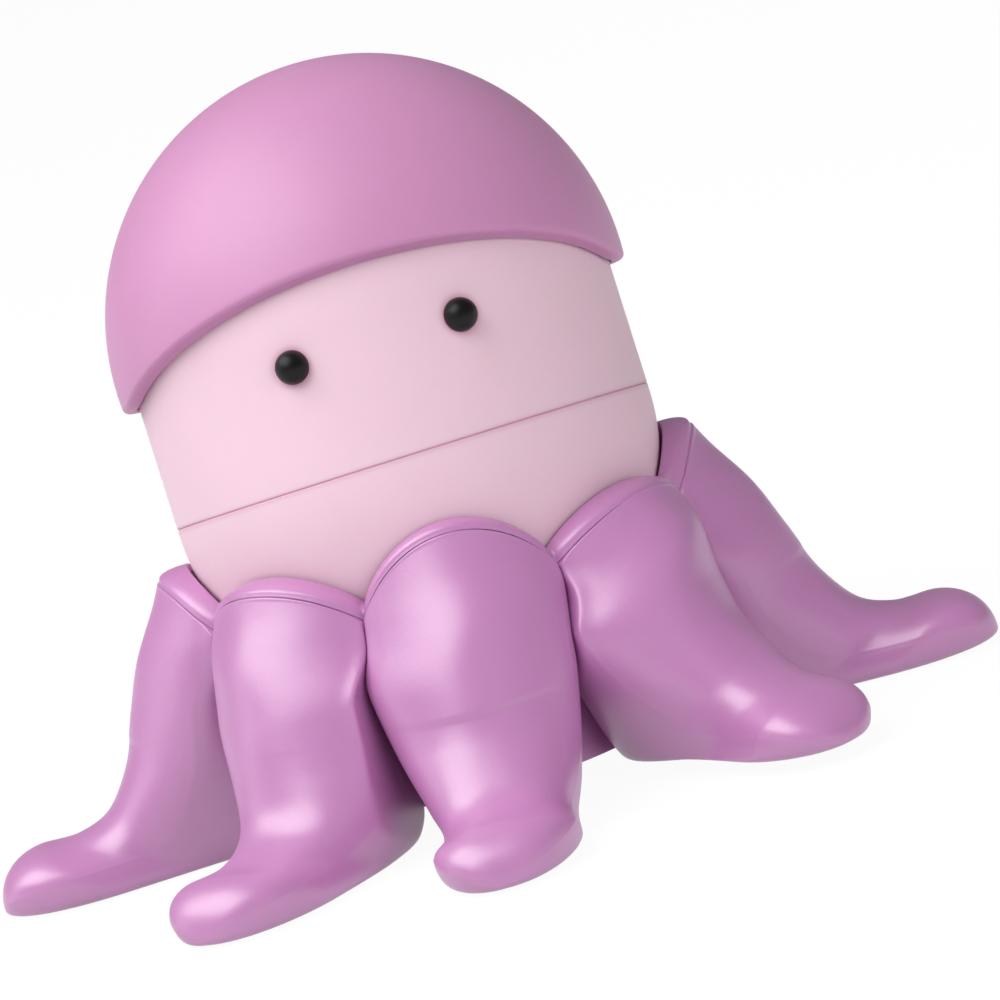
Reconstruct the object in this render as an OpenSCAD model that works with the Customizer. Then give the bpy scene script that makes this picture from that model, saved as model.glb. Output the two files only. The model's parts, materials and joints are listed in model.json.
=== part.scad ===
// Octopus toy figure: a ball-ended head with a domed cap, seated in a ring of eight boot-shaped legs.
// Millimetres. +Z is up, the soles stand on Z = 0, the head's ball centre is over the origin and the
// face looks along -Y. Legs are numbered from the front one round by the +X side.

/* [Head] */
// Outside diameter of the face, the jaw and its ball end
head_d = 49.2; // [48.8:0.1:49.6]
// Height of the ball centre above the soles
ball_z = 32.9; // [32.5:0.1:33.5]
// Wall of the face and of the jaw
head_wall = 2; // [1.6:0.1:2.4]
// Height of the seam between jaw and face above the ball centre
seam_z = 0.4; // [0.2:0.1:1]
// Width of the seam
seam_gap = 0.2; // [0.1:0.05:0.4]
// Height of the face's straight side above the ball centre, up to the centre of its dome
dome_z = 15.3; // [14:0.1:17]
// Angle by which the head looks up at rest
head_tilt = 11; // [6:1:12]
// Angle by which the head leans to -X at rest
head_lean = 1.6; // [0:0.1:2]
// Length of the jaw's spigot inside the face
spigot_l = 4; // [3:0.5:6]
// Wall of the spigot
spigot_wall = 1.5; // [1.2:0.1:2]

/* [Cap] */
// Thickness of the cap at the top
cap_t = 1.5; // [1.2:0.1:2]
// Depth of the cap's level rim below the centre of its dome
rim_drop = 2.3; // [1:0.1:4]
// Distance in front of the axis at which the rim starts to rise
brow_y = 6; // [3:0.5:9]
// Angle at which the rim rises over the face
brow_a = 20.5; // [14:0.5:24]
// Length over which the rim bends up
brow_blend = 3; // [1:0.5:5]
// Gap between the cap and the face under it
cap_gap = 0.2; // [0.15:0.05:0.3]
// Diameter of the peg under the cap
cap_peg_d = 6; // [4:0.5:8]
// Length of the peg under the cap
cap_peg_l = 4; // [3:0.5:6]

/* [Eyes] */
// Diameter of an eye bead
eye_d = 3.4; // [2.8:0.1:4]
// Distance of each eye from the middle of the face
eye_x = 8.6; // [6:0.1:11]
// Shift of the middle of the face to +X
eye_shift = 0.2; // [-0.5:0.1:0.5]
// Height of the eyes above the ball centre
eye_z = 12.2; // [8:0.1:14]
// Distance by which the centre of a bead stands out from the face
eye_proud = 0.15; // [0:0.05:0.5]
// Diameter of an eye's stem
eye_stem_d = 1.4; // [1:0.1:2]
// Length of an eye's stem behind the centre of its bead
eye_stem_l = 3.6; // [3:0.1:5]

/* [Legs] */
// Reach of the longest toes from the axis
toe_reach = 51.8; // [50:0.1:54]
// Length of the round end of a toe
toe_round = 5.2; // [4:0.1:6]
// Height of a toe
toe_h = 5.8; // [5:0.1:7]
// Width of a toe
toe_w = 14.4; // [13:0.1:15]
// Height of the instep
instep_h = 7.2; // [6.8:0.1:8.5]
// Distance of the instep from the axis
instep_r = 39.2; // [38:0.1:41]
// Width of the foot under the instep
instep_w = 15.2; // [14.5:0.1:17]
// Distance of the heel from the axis
heel_r = 20; // [19.5:0.1:21]
// Height of the knee
knee_h = 11.2; // [10:0.1:12.5]
// Distance of the knee from the axis
knee_r = 36.3; // [35:0.1:37.5]
// Width of a leg at the knee
knee_w = 18.4; // [17:0.1:20]
// Height of the middle of the shin
shin_h = 16.5; // [16:0.1:17]
// Distance of the middle of the shin from the axis
shin_r = 34.2; // [33:0.1:35]
// Width of a leg from the middle of the shin up
shin_w = 20.4; // [19:0.1:21]
// Distance of the outside of a leg from the axis at the collar
collar_r = 29; // [28.4:0.1:29.6]
// Width of a leg at the collar
collar_w = 18.9; // [18.5:0.1:19.5]
// Gap between neighbouring legs
leg_gap = 0.16; // [0.1:0.02:0.3]
// Turn of the collar and the tops of the legs about the upright axis
ring_turn = 2.5; // [0:0.5:4]
// Turn of each shin towards the next leg, in degrees from its even place
shin_turn = [0, -3.5, 0, 1.5, 0, -1.5, 0, 6]; // [-6:0.5:7]
// Turn of each foot towards the next leg, in degrees from its even place
foot_turn = [0, 1.5, 0, 1.5, 0, -1.5, 0, 9]; // [-10:0.5:10]
// Turn of the edge between each leg and the next one, in degrees, from the middle of the shin down
edge_turn = [-1.1, 0, 0, 0, 0, 0, 0, 0]; // [-2:0.1:2]
// Sideways swing of each toe, towards the next leg
toe_swing = [-2.2, -3, -2.5, 0.8, -0.6, -0.9, 3, -2.2]; // [-4:0.1:4]
// Shortening of each toe
toe_short = [0, 2, 0, 0.8, 0, 1.2, 0, 0.2]; // [0:0.1:3]
// Lift of each foot off the ground
foot_lift = [0, 1.2, 0, 0, 0, 0, 0, 0]; // [0:0.1:2]
// Fullness over each instep
instep_rise = [0, 2.8, 0, 0, 0, 0, 0, 0]; // [0:0.1:3]
// Share by which the height of each toe is lowered
toe_flat = [0, 0.25, 0, 0, 0, 0, 0, 0]; // [0:0.05:0.4]
// Depth of each ankle behind the line from the shin to the foot
ankle_in = [0, 0, 0, 0, 0, 0, 0, 1]; // [0:0.1:1.5]

/* [Collar] */
// Depth of the notches between the scallops below the ball centre
notch_drop = 8; // [7.6:0.1:8.4]
// Height of each leg's scallop above the notches
arch_rise = [6.4, 3.5, 4.8, 4.8, 5.4, 4.8, 4.4, 4.3]; // [3:0.1:6.5]
// Height of the collar's band at the top of a scallop
band_h = 1; // [0.8:0.1:1.4]
// Height of the collar's band in the notches
notch_h = 1.5; // [1.2:0.1:2]
// Distance by which the band lies behind the outside of the legs
band_inset = 0.15; // [0.05:0.05:0.4]
// Clearance between the collar and the ball
collar_gap = 0.45; // [0.4:0.05:0.6]
// Gap between the collar and the legs under it
collar_seat = 0.16; // [0.12:0.02:0.2]

/* [Hub] */
// Diameter of the hub that the legs are plugged into
hub_d = 38; // [37:0.2:38.4]
// Height of the hub's underside above the ground
hub_z = 2.5; // [2:0.1:3]
// Clearance between the ball and its seat in the hub and legs
ball_gap = 0.35; // [0.3:0.05:0.45]
// Diameter of the pegs on the legs
peg_d = 5; // [4:0.2:5.4]
// Length of a leg's peg inside the hub
peg_l = 4.5; // [3:0.5:5]
// Height of the pegs above the ground
peg_z = 9; // [8.5:0.1:9.5]
// Clearance of pegs, spigot and cap in what they plug into
plug_gap = 0.05; // [0.02:0.01:0.1]
// Diameter of the plug in the hub's underside
plug_d = 14; // [12:0.5:18]
// Thickness of the plug
plug_t = 1.5; // [1:0.1:1.6]

/* [Neck] */
// Diameter of the neck bolt
bolt_d = 4; // [3:0.1:5]
// Diameter of the bolt's head
bolt_head_d = 9; // [8:0.5:11]
// Thickness of the bolt's head
bolt_head_t = 2.5; // [2:0.1:4]
// Running clearance of the bolt in the ball washer, on the radius
bolt_gap = 0.05; // [0.02:0.01:0.1]
// Thickness of the ball washer
washer_t = 1.5; // [1.2:0.1:2]
// Angle from the axis to the edge of the ball washer
washer_a = 40; // [38:1:50]
// Clearance between the ball washer and the inside of the jaw
washer_gap = 0.2; // [0.15:0.05:0.3]
// Diameter of the ball washer's boss
boss_d = 9; // [8:0.5:11]
// Height of the ball washer's boss
boss_h = 2.5; // [2:0.1:4]
// Length of the spring
spring_l = 7; // [6:0.5:9]
// Wire of the spring
spring_wire = 0.7; // [0.5:0.1:0.9]
// Turns of the spring
spring_turns = 5; // [4:1:6]
// Thickness of the flat washer under the bolt's head
flat_t = 0.8; // [0.5:0.1:1.2]
// Width of the lock nut across its flats
nut_w = 7; // [6.5:0.1:8]
// Thickness of the lock nut
nut_t = 2.2; // [1.8:0.1:2.4]
// Greatest tilt of the head from upright, which the hole under the jaw leaves room for
tilt_max = 13; // [12:0.5:14]
// Room round the bolt in the hole under the jaw, round the nut, and behind a leg's peg
neck_room = 0.4; // [0.3:0.05:0.6]

/* [Hidden] */
$fn = 96;
NODES = [
    "cap", "face_shell", "jaw_bowl", "left_eye", "right_eye", "collar",
    "leg_front", "leg_front_right", "leg_right", "leg_back_right",
    "leg_back", "leg_back_left", "leg_left", "leg_front_left",
    "hub", "base_plug", "neck_bolt", "flat_washer", "neck_spring", "ball_washer", "lock_nut"
];
LEGS = [for (name = NODES) if (name[0] == "l" && name[1] == "e" && name[2] == "g") name];

mauve = "#c98fc4";
pink = "#f0d4e2";
head_r = head_d / 2;
cap_r = head_r + cap_gap + cap_t;
hub_r = hub_d / 2;
face_in = head_r - head_wall;
ball_seat = head_r + ball_gap;
half_pitch = 180 / len(LEGS);
big = 2 * toe_reach;

// Sections down a leg, each as outside radius and height, inside radius and height, and half width.
// The upper ones are level and one step apart, so that a height there gives a place along the leg.
top_drop = 1.4;
top_h = ball_z - top_drop;
level_keys = 3;
shin_step = (top_h - shin_h) / level_keys;
toe_start = toe_reach - toe_round;
// The back of a leg is drawn this far inside the hub and then moved out to it
back_r = hub_r - 4;
calf_r = hub_r - 1;
// The sole is drawn below the ground and then moved up to it, which leaves it flat
sole_z = -1.4;
// Outside of a leg over the ball at the top, how much narrower it is there on each side than at the
// collar, the bulge of the upper shin, and the waists of the upper shin and of the foot on each side
lip_t = 1.9;
lip_waist = 0.35;
shin_bulge = 0.5;
shin_waist = 0.2;
foot_waist = 0.9;
// Height of the back of the leg behind the knee and the instep, and lengths of the sole
calf_drop = 2.5;
heel_h = 1.4;
arch_l = 5.4;
ball_l = 8.6;
leg_keys = [
    [head_r + lip_t, top_h, back_r, top_h, collar_w / 2 - lip_waist],
    [collar_r, top_h - shin_step, back_r, top_h - shin_step, collar_w / 2],
    [(collar_r + shin_r) / 2 + shin_bulge, shin_h + shin_step,
        back_r, shin_h + shin_step, shin_w / 2 - shin_waist],
    [shin_r, shin_h, calf_r, shin_h, shin_w / 2],
    [knee_r, knee_h, calf_r, knee_h - calf_drop, knee_w / 2],
    [instep_r, instep_h, heel_r, heel_h, instep_w / 2],
    [(instep_r + toe_start) / 2, toe_h, heel_r + arch_l, sole_z, (instep_w + toe_w) / 4 - foot_waist],
    [toe_start, toe_h, toe_start - ball_l, sole_z, toe_w / 2]
];
last_key = len(leg_keys) - 1;
// Powers that shape the scallops, the ends of the toes, the feet's sections and the toes' swing
arch_power = 0.85;
toe_power = 0.9;
foot_power = 0.8;
swing_power = 1.2;
// Distances from the axis at which the swing of the toes and the fullness over the instep start
swing_start = 30;
instep_start = 27;
// Place along a leg at which its turn starts, and the length of leg over which the shin becomes the foot
turn_start = 1.6;
foot_blend = 2;
// Place along a leg of the deepest point of its ankle, and the length over which the ankle fades out
ankle_place = 4.7;
ankle_spread = 0.8;
// Narrowing of the shin's section between its front and its sides, and the heel's lift above the toe's
shin_pinch = 0.25;
heel_lift = 0.5;
ring_sides = 24;
band_rings = 4;
shin_rings = 6;
foot_rings = 12;
toe_rings = 4;

// Smooth curve through a list of keys, at place x counted in keys, which starts straight
function spline(keys, x) =
    let (
        n = len(keys) - 1,
        i = min(floor(x), n - 1),
        f = x - i,
        b = keys[i],
        c = keys[i + 1],
        a = i > 0 ? keys[i - 1] : 2 * b - c,
        d = keys[min(i + 2, n)]
    )
    0.5 * (2 * b + (c - a) * f + (2 * a - 5 * b + 4 * c - d) * f * f
        + (3 * b - a - 3 * c + d) * f * f * f);

// Share of a scallop's rise at an angle from the middle of its leg
function scallop(a) = pow(max(0, 1 - pow(a / half_pitch, 2)), arch_power);

// Height of the top of the collar over leg i at an angle from its middle
function band_top(i, a) = ball_z - notch_drop + arch_rise[i] * scallop(a);

// Height of the top of leg i under the collar's band
function arch_z(i, a) = band_top(i, a) - notch_h + (notch_h - band_h) * scallop(a);

// Radius that keeps a leg clear of the hub and of the ball at height z
function inner_r(z) =
    max(hub_r + leg_gap, sqrt(max(0, pow(ball_seat, 2) - pow(z - ball_z, 2))));

// Radius of the ball with the collar's clearance at height z
function collar_in(z) = sqrt(pow(head_r + collar_gap, 2) - pow(z - ball_z, 2));

// Power that keeps the sign
function bulge(v, e) = sign(v) * pow(abs(v), e);

// Section at place x along leg: the keys' curve, then the round end of the toe
function leg_key(x) =
    x <= last_key
    ? spline(leg_keys, x)
    : let (turn = 90 * (x - last_key), k = leg_keys[last_key], tip = 1)
        [k[0] + toe_round * sin(turn),
         tip + (k[1] - tip) * pow(cos(turn), toe_power),
         k[2] + (toe_reach - k[2]) * sin(turn),
         tip + (k[3] - tip) * cos(turn),
         k[4] * pow(cos(turn), toe_power)];

// Value between 0 and 1 of x on its way from low to high
function part_way(x, low, high) = min(1, max(0, (x - low) / (high - low)));

// The same with a flat start and end
function eased(x, low, high) = let (f = part_way(x, low, high)) f * f * (3 - 2 * f);

// Share of the toe's swing and shortening at radius r
function toe_share(r) = pow(part_way(r, swing_start, toe_reach), swing_power);

// Turn of leg i at place x from its top: the shin's, then eased into the foot's
function leg_turn(i, x) =
    (shin_turn[i] - ring_turn) * eased(x, turn_start, level_keys)
    + (foot_turn[i] - shin_turn[i]) * eased(x, level_keys, level_keys + foot_blend);

// Turn of edge i at height z from its place at the top: back to its even place and on by its own turn
function edge_angle(i, z) = (edge_turn[i] - ring_turn) * (1 - eased(z, shin_h, shin_h + shin_step));

// Greatest sideways distance at radius r and angle a to an edge, with half the gap between legs
function edge_limit(r, a) = r * tan(a) - leg_gap / 2 / cos(a);

// Point of leg i at place x and angle phi round its section, as radius, sideways and height
function leg_raw(i, x, phi) =
    let (
        k = leg_key(x),
        foot = eased(x, level_keys, level_keys + foot_blend),
        e = 1 - (1 - foot_power) * foot,
        c = bulge(cos(phi), e),
        s = bulge(sin(phi), e) * (1 - shin_pinch * (1 - foot) * pow(cos(phi), 2)),
        ankle = ankle_in[i] * exp(-pow((x - ankle_place) / ankle_spread, 2)) * max(0, c),
        r0 = (k[0] + k[2]) / 2 + (k[0] - k[2]) / 2 * c - ankle,
        share = toe_share(r0),
        f = part_way(r0, instep_start, toe_reach),
        full = instep_rise[i] * 16 * pow(f * (1 - f), 2) * max(0, c),
        z0 = (k[1] + k[3]) / 2 + (k[1] - k[3]) / 2 * c + full,
        z = z0 * (1 - toe_flat[i] * share) + foot_lift[i] * share,
        side0 = k[4] * s + toe_swing[i] * share,
        turn = leg_turn(i, x),
        r = r0 * cos(turn) - side0 * sin(turn),
        side = r0 * sin(turn) + side0 * cos(turn),
        ahead = edge_limit(r, half_pitch + edge_angle(i, z)),
        behind = -edge_limit(r, half_pitch - edge_angle((i + len(LEGS) - 1) % len(LEGS), z)),
        sole = foot_lift[i] * (1 + heel_lift * (1 - share))
    )
    [r - toe_short[i] * share, min(ahead, max(behind, side)), max(sole, z)];

// The same point moved out where it would touch the hub or the ball
function leg_point(i, x, phi) =
    let (p = leg_raw(i, x, phi), out = max(1, inner_r(p[2]) / norm([p[0], p[1]])))
    [p[0] * out, p[1] * out, p[2]];

// Place along leg i at which its surface reaches the arch under the collar
function top_place(i, phi, x = 1.2, tries = 4) =
    tries == 0
    ? x
    : let (p = leg_raw(i, x, phi))
        top_place(i, phi, (top_h - arch_z(i, atan2(p[1], p[0]))) / shin_step, tries - 1);

// Places of the rings of leg i at one angle, from the arch to the tip of the toe
function leg_places(i, phi) =
    let (top = top_place(i, phi))
    [
        for (j = [0 : shin_rings - 1]) top + (level_keys - top) * j / shin_rings,
        for (j = [0 : foot_rings - 1]) level_keys + (last_key - level_keys) * j / foot_rings,
        for (j = [0 : toe_rings - 1]) last_key + j / toe_rings
    ];

// Angle of leg i about the upright axis at its top
function leg_angle(i) = i * 2 * half_pitch - 90 + ring_turn;

// Triangles of a tube of rings, n points each, from ring 0 to the last
function tube_faces(rings, n) = [
    for (j = [0 : rings - 2])
    for (k = [0 : n - 1])
    let (a = j * n + k, b = j * n + (k + 1) % n)
    each [[a, b, b + n], [a, b + n, a + n]]
];

// Leg i: a loft from the arch under the collar to the toe, with a peg for the hub
module leg(i) {
    columns = [for (k = [0 : ring_sides - 1]) let (phi = 360 * k / ring_sides)
        [for (x = leg_places(i, phi)) leg_point(i, x, phi)]];
    rings = len(columns[0]);
    tip = leg_point(i, last_key + 1, 0);
    points = [for (j = [0 : rings - 1]) for (column = columns) column[j], tip];
    half = ring_sides / 2;
    last = (rings - 1) * ring_sides;
    lid = [for (k = [-half / 2 : half / 2 - 1])
        let (a = (k + ring_sides) % ring_sides, b = (k + 1 + ring_sides) % ring_sides)
        each concat(
            k == -half / 2 ? [] : [[a, half - k, b]],
            k == half / 2 - 1 ? [] : [[b, half - k, half - k - 1]])];
    end = [for (k = [0 : ring_sides - 1]) [last + k, last + (k + 1) % ring_sides, rings * ring_sides]];
    color(mauve)
    rotate(leg_angle(i))
    union() {
        polyhedron(points, concat(lid, tube_faces(rings, ring_sides), end));
        translate([hub_r - peg_l, 0, peg_z])
        rotate([0, 90, 0])
        cylinder(d = peg_d, h = peg_l + leg_gap + 2);
    }
}

// Point of the level section k at angle phi, as radius and sideways
function shin_point(k, phi) = [
    (k[0] + k[2]) / 2 + (k[0] - k[2]) / 2 * cos(phi),
    k[4] * sin(phi) * (1 - shin_pinch * pow(cos(phi), 2))
];

// Point of section k that lies at angle a from the middle of the leg, halved in on between two angles
function skin_point(k, a, low = 0, high = 90, tries = 16) =
    let (mid = (low + high) / 2, p = shin_point(k, mid))
    tries == 0
    ? p
    : atan2(p[1], p[0]) < a
        ? skin_point(k, a, mid, high, tries - 1)
        : skin_point(k, a, low, mid, tries - 1);

// Outside radius of a leg at height z and an angle from its middle
function skin_r(z, a) = norm(skin_point(spline(leg_keys, (top_h - z) / shin_step), abs(a)));

// Outline of the collar at an angle from the middle of leg i, as radius and height, from the inside up
function collar_outline(i, a) =
    let (
        low = arch_z(i, a) + collar_seat,
        high = band_top(i, a),
        inside = collar_in(high),
        out = skin_r(low, a) - band_inset
    )
    [
        [collar_in(low), low],
        for (turn = [0 : 90 / band_rings : 90])
            [inside + (out - inside) * cos(turn), low + (high - low) * sin(turn)]
    ];

// One ring with a scallop over each leg, round the ball
module collar() {
    steps = 16;
    outlines = [for (i = [0 : len(LEGS) - 1]) for (j = [0 : steps - 1])
        let (a = half_pitch * sin(180 * j / steps - 90), turn = leg_angle(i) + a)
        [for (p = collar_outline(i, a)) [p[0] * cos(turn), p[0] * sin(turn), p[1]]]];
    n = len(outlines[0]);
    stations = len(outlines);
    faces = [for (j = [0 : stations - 1]) for (k = [0 : n - 1])
        let (a = j * n + k, b = j * n + (k + 1) % n, m = ((j + 1) % stations) * n)
        each [[b, a, m + (k + 1) % n], [a, m + k, m + (k + 1) % n]]];
    color(mauve)
    polyhedron([for (outline = outlines) each outline], faces);
}

// Places its children in the head's own frame, centred on the ball
module head_place() {
    translate([0, 0, ball_z])
    rotate([-head_tilt, 0, 0])
    rotate([0, -head_lean, 0])
    children();
}

// Lower half-space up to z = 0
module below() {
    translate([-big, -big, -2 * big])
    cube(2 * big);
}

// Height of the cap's rim above the centre of its dome, at distance y in front of the axis
function brow(y) =
    let (rise = y - brow_y)
    -rim_drop + tan(brow_a) * (rise + sqrt(rise * rise + brow_blend * brow_blend)) / 2;

// Radius of the cap's outside, or of its inside with a straight skirt under the dome, at height z
function cap_outside(z) = sqrt(max(0, cap_r * cap_r - z * z));
function cap_inside(z) = sqrt(pow(head_r + cap_gap, 2) - pow(max(0, z), 2));

// Height of the rim at angle a from the front, on the outside or the inside of the cap
function rim_z(a, outside, z = 0, tries = 5) =
    tries == 0
    ? z
    : rim_z(a, outside, brow(cos(a) * (outside ? cap_outside(z) : cap_inside(z))), tries - 1);

// Point of the cap at angle a from the front and share f of the way up from the rim: the outside goes
// to the pole, and the inside to the root of the peg
function cap_point(a, outside, f) =
    let (
        pole = outside ? cap_r : head_r + cap_gap,
        low = asin(rim_z(a, outside) / pole),
        high = outside ? 90 : acos(cap_peg_d / 2 / pole),
        z = pole * sin(low + (high - low) * f),
        r = outside ? cap_outside(z) : cap_inside(z)
    )
    [r * sin(a), -r * cos(a), z];

// Domed cap, level behind and raised over the face, with a peg for the face's dome
module cap() {
    sides = 64;
    rows = 10;
    turns = [for (k = [0 : sides - 1]) 360 * k / sides];
    peg_end = head_r + cap_gap - cap_peg_l;
    rings = concat(
        [[for (a = turns) [cap_peg_d / 2 * sin(a), -cap_peg_d / 2 * cos(a), peg_end]]],
        [for (j = [rows : -1 : 0]) [for (a = turns) cap_point(a, false, j / rows)]],
        [for (j = [0 : rows - 1]) [for (a = turns) cap_point(a, true, j / rows)]]);
    points = [for (ring = rings) each ring, [0, 0, peg_end], [0, 0, cap_r]];
    last = (len(rings) - 1) * sides;
    poles = len(rings) * sides;
    ends = [for (k = [0 : sides - 1]) let (next = (k + 1) % sides)
        each [[next, k, poles], [last + k, last + next, poles + 1]]];
    color(mauve)
    head_place()
    translate([0, 0, dome_z])
    polyhedron(points, concat(ends, tube_faces(len(rings), sides)));
}

// Centre of the eye on one side, in the head's frame
function eye_place(side) =
    let (x = side * eye_x + eye_shift)
    [x, -sqrt(pow(head_r, 2) - pow(x, 2)) - eye_proud, eye_z];

// Turns its children's +Z inwards from the eye on one side
module eye_turn(side) {
    place = eye_place(side);
    translate(place)
    rotate([0, 0, atan2(place[1], place[0])])
    rotate([0, -90, 0])
    children();
}

// Upper half of the head: a straight wall with a dome under the cap
module face_shell() {
    low = seam_z + seam_gap;
    color(pink)
    head_place()
    difference() {
        union() {
            translate([0, 0, low])
            cylinder(r = head_r, h = dome_z - low);
            translate([0, 0, dome_z])
            difference() {
                sphere(r = head_r);
                below();
            }
        }
        translate([0, 0, low - 1])
        cylinder(r = face_in, h = dome_z - low + 1);
        translate([0, 0, dome_z])
        sphere(r = face_in);
        translate([0, 0, dome_z])
        cylinder(d = cap_peg_d + 2 * plug_gap, h = cap_r);
        for (side = [-1, 1])
        eye_turn(side) {
            sphere(d = eye_d + 2 * plug_gap, $fn = 48);
            cylinder(d = eye_stem_d + 2 * plug_gap, h = eye_stem_l + head_wall, $fn = 48);
        }
    }
}

// Lower half of the head: a ball end with a hole for the neck, and a spigot for the face
module jaw_bowl() {
    hole_r = bolt_d / 2 + head_r * sin(tilt_max) + neck_room;
    spigot_r = face_in - plug_gap;
    color(pink)
    head_place()
    difference() {
        union() {
            difference() {
                sphere(r = head_r);
                mirror([0, 0, 1])
                below();
            }
            cylinder(r = head_r, h = seam_z);
            cylinder(r = spigot_r, h = seam_z + spigot_l);
        }
        difference() {
            sphere(r = face_in);
            mirror([0, 0, 1])
            below();
        }
        cylinder(r = spigot_r - spigot_wall, h = 2 * spigot_l + seam_z);
        translate([0, 0, -1])
        cylinder(r = spigot_r - spigot_wall, h = 2);
        translate([0, 0, -head_r - 1])
        cylinder(r = hole_r, h = head_r / 2);
    }
}

// Eye bead on a stem
module eye(side) {
    color("#151515")
    head_place()
    eye_turn(side)
    union() {
        sphere(d = eye_d, $fn = 48);
        cylinder(d = eye_stem_d, h = eye_stem_l, $fn = 48);
    }
}

// Block that carries the ball from below and the legs around it
module hub() {
    rim_z = ball_z - sqrt(pow(ball_seat, 2) - pow(hub_r, 2));
    nut_z = hub_z + plug_t + plug_gap;
    color(mauve)
    difference() {
        translate([0, 0, hub_z])
        cylinder(r = hub_r, h = rim_z - hub_z);
        translate([0, 0, ball_z])
        sphere(r = ball_seat);
        cylinder(d = bolt_d, h = ball_z);
        translate([0, 0, hub_z - 1])
        cylinder(d = plug_d + 2 * plug_gap, h = plug_t + plug_gap + 1);
        translate([0, 0, nut_z - 1])
        cylinder(d = nut_w / cos(30) + neck_room, h = nut_t + 1);
        for (i = [0 : len(LEGS) - 1])
        rotate(leg_angle(i))
        translate([hub_r - peg_l - neck_room / 2, 0, peg_z])
        rotate([0, 90, 0])
        cylinder(d = peg_d + 2 * plug_gap, h = peg_l + 1);
    }
}

// Disc that closes the hub's underside
module base_plug() {
    color(mauve)
    translate([0, 0, hub_z])
    cylinder(d = plug_d, h = plug_t);
}

// Heights of the neck pieces, from the inside of the ball washer up
washer_r = face_in - washer_gap;
boss_z = ball_z - washer_r + washer_t + boss_h;
flat_z = boss_z + spring_l;
nut_low = hub_z + plug_t + plug_gap;

// Bolt that holds the ball down in its seat
module neck_bolt() {
    head_low = flat_z + flat_t;
    color("silver")
    union() {
        translate([0, 0, nut_low])
        cylinder(d = bolt_d, h = head_low - nut_low);
        translate([0, 0, head_low])
        cylinder(d = bolt_head_d, h = bolt_head_t);
    }
}

// Flat washer between the spring and the bolt's head
module flat_washer() {
    color("silver")
    translate([0, 0, flat_z])
    difference() {
        cylinder(d = bolt_head_d, h = flat_t);
        translate([0, 0, -1])
        cylinder(r = bolt_d / 2 + bolt_gap, h = flat_t + 2);
    }
}

// Nut on the bolt's lower end
module lock_nut() {
    color("silver")
    translate([0, 0, nut_low])
    difference() {
        cylinder(d = nut_w / cos(30), h = nut_t, $fn = 6);
        translate([0, 0, -1])
        cylinder(d = bolt_d, h = nut_t + 2);
    }
}

// Dished washer that follows the inside of the jaw
module ball_washer() {
    edge = washer_r * 2;
    color("whitesmoke")
    translate([0, 0, ball_z])
    difference() {
        union() {
            rotate_extrude()
            intersection() {
                difference() {
                    circle(r = washer_r);
                    circle(r = washer_r - washer_t);
                }
                polygon([[0, 0], [0, -edge], [edge * tan(washer_a), -edge]]);
            }
            translate([0, 0, boss_z - ball_z - boss_h - washer_t / 2])
            cylinder(d = boss_d, h = boss_h + washer_t / 2);
        }
        translate([0, 0, -edge])
        cylinder(r = bolt_d / 2 + bolt_gap, h = edge);
    }
}

// Compression spring between the ball washer and the flat washer
module neck_spring() {
    wire_r = spring_wire / 2;
    sides = 8;
    per_turn = 16;
    rings = spring_turns * per_turn + 1;
    coil_r = (bolt_d + bolt_head_d) / 4 + washer_gap;
    seat = washer_gap / 2;
    travel = spring_l - spring_wire - 2 * seat;
    points = [for (j = [0 : rings - 1]) for (k = [0 : sides - 1])
        let (
            turn = 360 * j / per_turn,
            round = 360 * k / sides,
            r = coil_r + wire_r * cos(round),
            z = boss_z + seat + wire_r + travel * j / (rings - 1) + wire_r * sin(round)
        )
        [r * cos(turn), r * sin(turn), z]];
    first = [for (k = [sides - 1 : -1 : 0]) k];
    last = [for (k = [0 : sides - 1]) (rings - 1) * sides + k];
    color("silver")
    polyhedron(points, concat([first], tube_faces(rings, sides), [last]));
}

cap();
face_shell();
jaw_bowl();
eye(-1);  // left_eye
eye(1);  // right_eye
collar();
for (i = [0 : len(LEGS) - 1]) leg(i);
hub();
base_plug();
neck_bolt();
flat_washer();
neck_spring();
ball_washer();
lock_nut();
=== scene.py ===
# %% [markdown]
# # An octopus toy figure
# This lesson dresses a small moulded toy: a round pink head under a mauve cap, seated by a ball end
# in a scalloped collar over eight boot-shaped legs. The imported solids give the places, the bodies
# and the joints. Each visible piece is made again here as a smooth surface, because a moulding has
# soft edges that a plain solid lacks.

# %% Set up
import json

import bmesh
import bpy
import numpy as np
from mathutils import Matrix, Vector


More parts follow.
